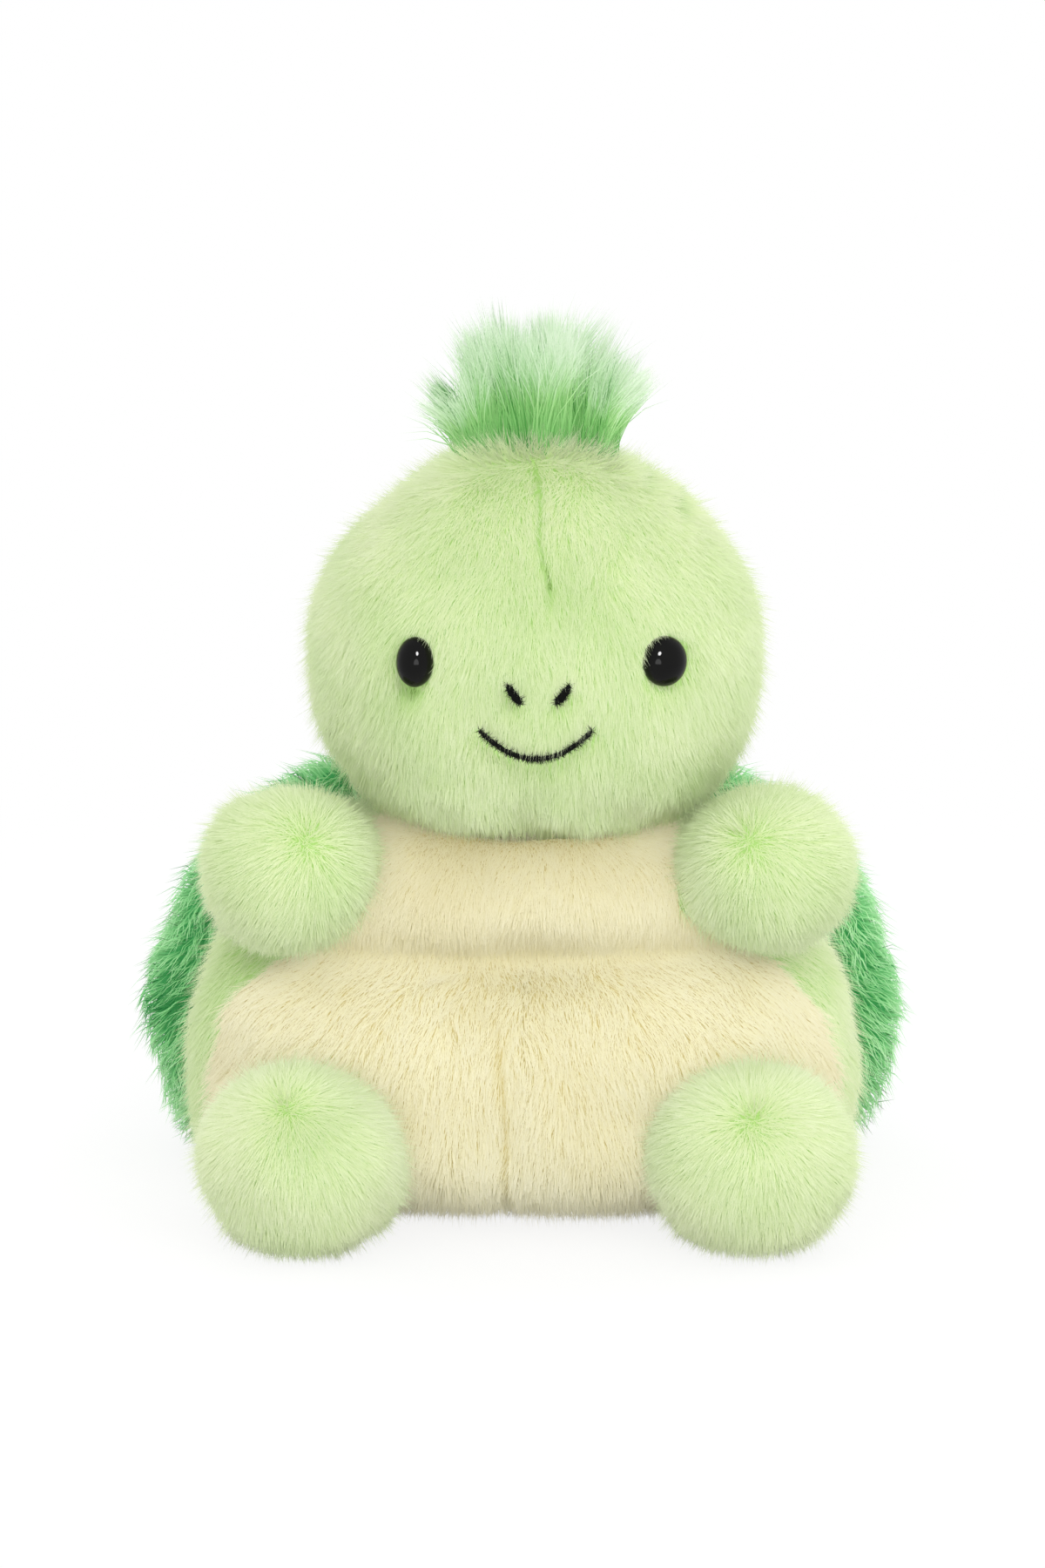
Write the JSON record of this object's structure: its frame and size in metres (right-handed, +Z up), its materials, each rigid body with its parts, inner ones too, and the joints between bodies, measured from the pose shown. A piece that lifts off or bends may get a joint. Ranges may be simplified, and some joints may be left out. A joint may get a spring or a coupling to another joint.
{
  "type": "plush turtle",
  "caption": "Small sitting plush turtle with a padded curly shell, a long-pile tuft, safety eyes, and a head, arms and legs that flex on soft seams.",
  "frame": {"origin": "on the surface the toy sits on, under the middle of its bounding box", "axes": "+Z up; the face looks along -Y; +X is to the right of someone facing the toy"},
  "size_m": [0.1072, 0.088, 0.1238],
  "materials": {
    "pale_green_plush": "short-pile plush, pale green, pile brushed downwards",
    "cream_plush": "short-pile plush, cream, pile brushed downwards",
    "shell_plush": "curly long-pile plush, mid green, clumped into small locks",
    "tuft_pile": "long straight pile, mid green at the root and paler at the tips",
    "eye_plastic": "polished black",
    "washer_plastic": "moulded, natural white",
    "black_thread": "twisted embroidery thread, satin",
    "fibre_filling": "white polyester fibre",
    "pouch_cloth": "plain woven inner cloth",
    "bean_pellets": "small translucent white pellets in bulk",
    "lining_cloth": "plain woven backing cloth"
  },
  "bodies": {
    "torso": {"chest_panel": "cream_plush", "belly_panel_left": "cream_plush", "belly_panel_right": "cream_plush", "back_skin": "pale_green_plush", "base_panel": "pale_green_plush", "torso_filling": "fibre_filling", "bean_pouch": "pouch_cloth", "bean_fill": "bean_pellets", "shell_cover": "shell_plush", "shell_lining": "lining_cloth", "shell_filling": "fibre_filling"},
    "neck": {"neck_filling": "fibre_filling"},
    "head": {"head_front": "pale_green_plush", "head_back": "pale_green_plush", "head_filling": "fibre_filling", "eye_left": "eye_plastic", "eye_right": "eye_plastic", "eye_washer_left": "washer_plastic", "eye_washer_right": "washer_plastic", "nostril_left": "black_thread", "nostril_right": "black_thread", "mouth": "black_thread", "tuft": "tuft_pile"},
    "arm_left": {"arm_left_skin": "pale_green_plush", "arm_left_filling": "fibre_filling"},
    "arm_right": {"arm_right_skin": "pale_green_plush", "arm_right_filling": "fibre_filling"},
    "leg_left": {"leg_left_skin": "pale_green_plush", "leg_left_filling": "fibre_filling"},
    "leg_right": {"leg_right_skin": "pale_green_plush", "leg_right_filling": "fibre_filling"}
  },
  "joints": [
    {"name": "head_turn", "type": "hinge", "parent": "torso", "child": "neck", "pos_m": [0.0018, 0.001, 0.0675], "axis": [0, 0, 1], "range_deg": [-30, 30], "stiffness_Nm_per_rad": 0.12},
    {"name": "head_nod", "type": "hinge", "parent": "neck", "child": "head", "pos_m": [0.0018, 0.001, 0.0675], "axis": [1, 0, 0], "range_deg": [-10, 8], "stiffness_Nm_per_rad": 0.15},
    {"name": "arm_left_lift", "type": "hinge", "parent": "torso", "child": "arm_left", "pos_m": [-0.0272, -0.007, 0.0484], "axis": [-0.7071, 0, -0.7071], "range_deg": [-12, 30], "stiffness_Nm_per_rad": 0.03},
    {"name": "arm_right_lift", "type": "hinge", "parent": "torso", "child": "arm_right", "pos_m": [0.0288, -0.007, 0.0484], "axis": [-0.7071, 0, 0.7071], "range_deg": [-12, 30], "stiffness_Nm_per_rad": 0.03},
    {"name": "leg_left_lift", "type": "hinge", "parent": "torso", "child": "leg_left", "pos_m": [-0.027, -0.019, 0.011], "axis": [-1, 0, 0], "range_deg": [0, 20], "stiffness_Nm_per_rad": 0.04},
    {"name": "leg_right_lift", "type": "hinge", "parent": "torso", "child": "leg_right", "pos_m": [0.027, -0.019, 0.011], "axis": [-1, 0, 0], "range_deg": [0, 20], "stiffness_Nm_per_rad": 0.04}
  ]
}
